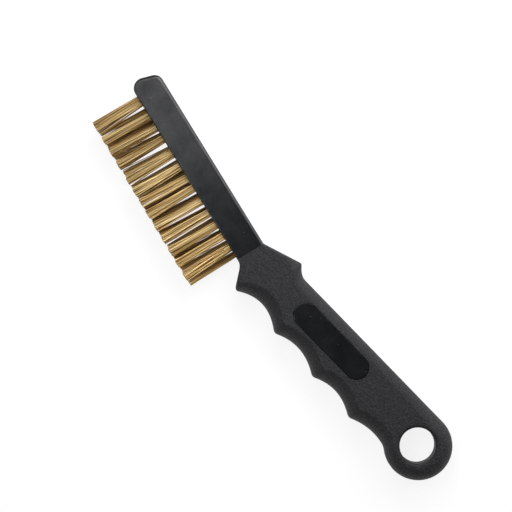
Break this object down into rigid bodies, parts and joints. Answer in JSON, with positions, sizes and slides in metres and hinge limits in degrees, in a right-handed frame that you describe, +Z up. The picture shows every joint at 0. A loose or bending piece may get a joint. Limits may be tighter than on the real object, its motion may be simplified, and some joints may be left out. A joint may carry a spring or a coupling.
{
  "type": "wire brush",
  "caption": "Hand wire brush: staggered rows of brass wire tufts in a slim black plastic stock, with a textured moulded grip that has finger hollows, a guard, a shoulder and a hanging hole",
  "frame": {"origin": "Under the middle of the brush's bounding box, on the surface that it lies on", "axes": "X along the stock from its tip towards the hanging ring, Y from the wires to the back, Z up through the brush as it lies on its side"},
  "size_m": [0.1988, 0.0574, 0.016],
  "materials": {
    "stock_plastic": "satin",
    "grip_plastic": "matte",
    "brass_wire": "satin",
    "anchor_steel": "satin"
  },
  "bodies": {
    "root": {"stock": "stock_plastic", "grip": "grip_plastic", "bristle_row_front": "brass_wire", "bristle_row_back": "brass_wire", "anchor_front_01": "anchor_steel", "anchor_front_02": "anchor_steel", "anchor_front_03": "anchor_steel", "anchor_front_04": "anchor_steel", "anchor_front_05": "anchor_steel", "anchor_front_06": "anchor_steel", "anchor_front_07": "anchor_steel", "anchor_front_08": "anchor_steel", "anchor_front_09": "anchor_steel", "anchor_front_10": "anchor_steel", "anchor_front_11": "anchor_steel", "anchor_front_12": "anchor_steel", "anchor_front_13": "anchor_steel", "anchor_back_01": "anchor_steel", "anchor_back_02": "anchor_steel", "anchor_back_03": "anchor_steel", "anchor_back_04": "anchor_steel", "anchor_back_05": "anchor_steel", "anchor_back_06": "anchor_steel", "anchor_back_07": "anchor_steel", "anchor_back_08": "anchor_steel", "anchor_back_09": "anchor_steel", "anchor_back_10": "anchor_steel", "anchor_back_11": "anchor_steel", "anchor_back_12": "anchor_steel", "anchor_back_13": "anchor_steel"}
  },
  "joints": []
}
